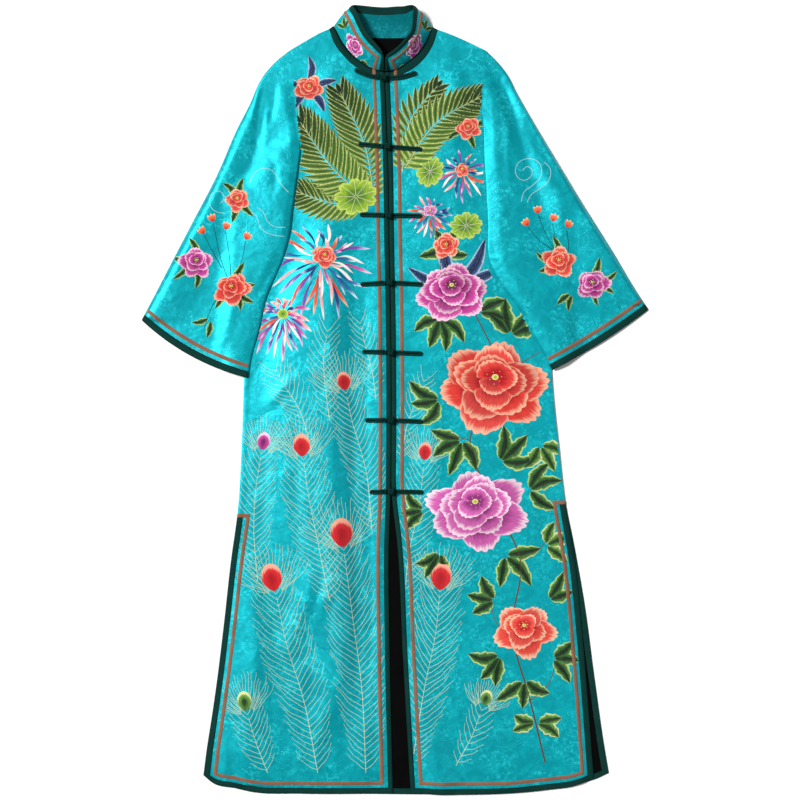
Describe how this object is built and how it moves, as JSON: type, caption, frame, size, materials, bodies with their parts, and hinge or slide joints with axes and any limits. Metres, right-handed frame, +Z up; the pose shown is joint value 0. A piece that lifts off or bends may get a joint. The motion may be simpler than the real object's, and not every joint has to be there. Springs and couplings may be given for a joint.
{
  "type": "qipao robe",
  "caption": "Long front-opening robe laid flat, with a stand collar, 3/4 sleeves, bound edges, inset flat braid, cord frogs and side slits.",
  "frame": {"origin": "centre of the robe's outline, on the surface that it lies on", "axes": "+X to the right of someone who looks down on the robe, +Y from the hem to the collar, +Z up from the surface that it lies on"},
  "size_m": [0.77, 1.1974, 0.0353],
  "materials": {
    "satin": "turquoise figured satin with a soft sheen, embroidered, over a black lining",
    "binding_satin": "dark bottle-green satin, finely ribbed",
    "copper_braid": "narrow woven copper-coloured braid",
    "frog_cord": "dark green twisted cord"
  },
  "bodies": {
    "root": {"back_panel": "satin", "front_left": "satin", "front_right": "satin", "sleeve_left": "satin", "sleeve_right": "satin", "collar": "satin", "back_binding": "binding_satin", "front_binding_left": "binding_satin", "front_binding_right": "binding_satin", "neck_binding_left": "binding_satin", "neck_binding_right": "binding_satin", "cuff_binding_left": "binding_satin", "cuff_binding_right": "binding_satin", "collar_binding": "binding_satin", "front_braid_left": "copper_braid", "front_braid_right": "copper_braid", "cuff_braid_left": "copper_braid", "cuff_braid_right": "copper_braid", "collar_braid": "copper_braid", "frog_1_tail": "frog_cord", "frog_1_loop": "frog_cord", "frog_1_knot": "frog_cord", "frog_2_tail": "frog_cord", "frog_2_loop": "frog_cord", "frog_2_knot": "frog_cord", "frog_3_tail": "frog_cord", "frog_3_loop": "frog_cord", "frog_3_knot": "frog_cord", "frog_4_tail": "frog_cord", "frog_4_loop": "frog_cord", "frog_4_knot": "frog_cord", "frog_5_tail": "frog_cord", "frog_5_loop": "frog_cord", "frog_5_knot": "frog_cord", "frog_6_tail": "frog_cord", "frog_6_loop": "frog_cord", "frog_6_knot": "frog_cord", "frog_7_tail": "frog_cord", "frog_7_loop": "frog_cord", "frog_7_knot": "frog_cord"}
  },
  "joints": []
}
